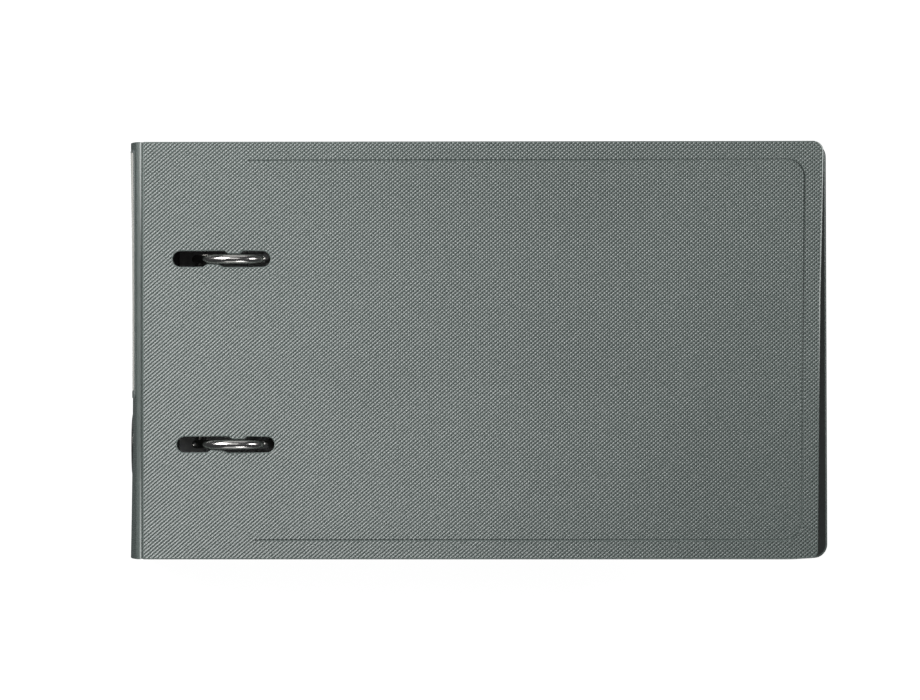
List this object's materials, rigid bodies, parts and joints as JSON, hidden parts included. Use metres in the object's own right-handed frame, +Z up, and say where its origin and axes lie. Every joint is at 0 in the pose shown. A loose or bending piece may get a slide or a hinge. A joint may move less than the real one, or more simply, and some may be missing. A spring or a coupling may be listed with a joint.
{
  "type": "lever arch file",
  "caption": "Landscape lever arch file with a hinged slotted cover, bowed spine with finger ring, and a riveted ring mechanism with lever and compressor.",
  "frame": {"origin": "on the table, under the middle of the closed file's bounding box", "axes": "+X from the fold to the free edges of the covers, +Y along the fold towards the head, +Z up from the back cover to the front cover"},
  "size_m": [0.304, 0.18, 0.0745],
  "materials": {
    "cover_board": "grey-green embossed polypropylene board, fine woven-look grain, satin",
    "nickel_wire": "nickel-plated steel wire and pressings, bright",
    "zinc_plate": "zinc-plated pressed steel sheet, satin",
    "spring_steel": "blued spring steel strip",
    "roller_plastic": "black moulded nylon",
    "pocket_film": "clear film, welded at the rim",
    "label_paper": "plain uncoated paper card, blank"
  },
  "bodies": {
    "root": {"back_cover": "cover_board", "base_plate": "zinc_plate", "upper_post": "nickel_wire", "lower_post": "nickel_wire", "lever_pin": "nickel_wire", "leaf_spring": "spring_steel", "leaf_spring_rivet": "nickel_wire", "cover_rivet_1": "nickel_wire", "cover_rivet_2": "nickel_wire", "cover_rivet_3": "nickel_wire", "cover_rivet_4": "nickel_wire"},
    "spine": {"spine_panel": "cover_board", "front_hinge": "cover_board", "back_hinge": "cover_board", "label_pocket": "pocket_film", "label_card": "label_paper", "finger_ring_outer": "nickel_wire", "finger_ring_inner": "nickel_wire"},
    "front_cover": {"front_cover": "cover_board"},
    "arches": {"ring_arches": "nickel_wire"},
    "lever": {"lever": "nickel_wire", "roller_pin": "nickel_wire"},
    "roller": {"roller": "roller_plastic"},
    "compressor": {"compressor_bar": "zinc_plate", "upper_guide_pin": "nickel_wire", "lower_guide_pin": "nickel_wire"},
    "compressor_lock": {"compressor_lock": "zinc_plate"}
  },
  "joints": [
    {"name": "spine_hinge", "type": "hinge", "parent": "root", "child": "spine", "pos_m": [-0.14704, -0.0005, 0.001], "axis": [0, -1, 0], "range_deg": [0, 74]},
    {"name": "front_cover_hinge", "type": "hinge", "parent": "spine", "child": "front_cover", "pos_m": [-0.14704, -0.0005, 0.069], "axis": [0, -1, 0], "range_deg": [0, 109.4]},
    {"name": "lever_hinge", "type": "hinge", "parent": "root", "child": "lever", "pos_m": [-0.11204, -0.0265, 0.0128], "axis": [1, 0, 0], "range_deg": [0, 88]},
    {"name": "arch_hinge", "type": "hinge", "parent": "root", "child": "arches", "pos_m": [-0.12284, -0.0005, 0.007], "axis": [0, -1, 0], "range_deg": [0, 35]},
    {"name": "roller_spin", "type": "hinge", "parent": "lever", "child": "roller", "pos_m": [-0.11204, -0.0025, 0.0128], "axis": [1, 0, 0], "continuous": true},
    {"name": "compressor_slide", "type": "slide", "parent": "root", "child": "compressor", "axis": [0, 0, 1], "range_m": [0, 0.042]},
    {"name": "compressor_lock_slide", "type": "slide", "parent": "compressor", "child": "compressor_lock", "axis": [0, 1, 0], "range_m": [0, 0.005]}
  ],
  "couplings": [
    {"joint": "spine_hinge", "follows": "front_cover_hinge", "ratio": 0.67641},
    {"joint": "lever_hinge", "follows": "front_cover_hinge", "ratio": 0.80438},
    {"joint": "arch_hinge", "follows": "front_cover_hinge", "ratio": 0.31992}
  ]
}
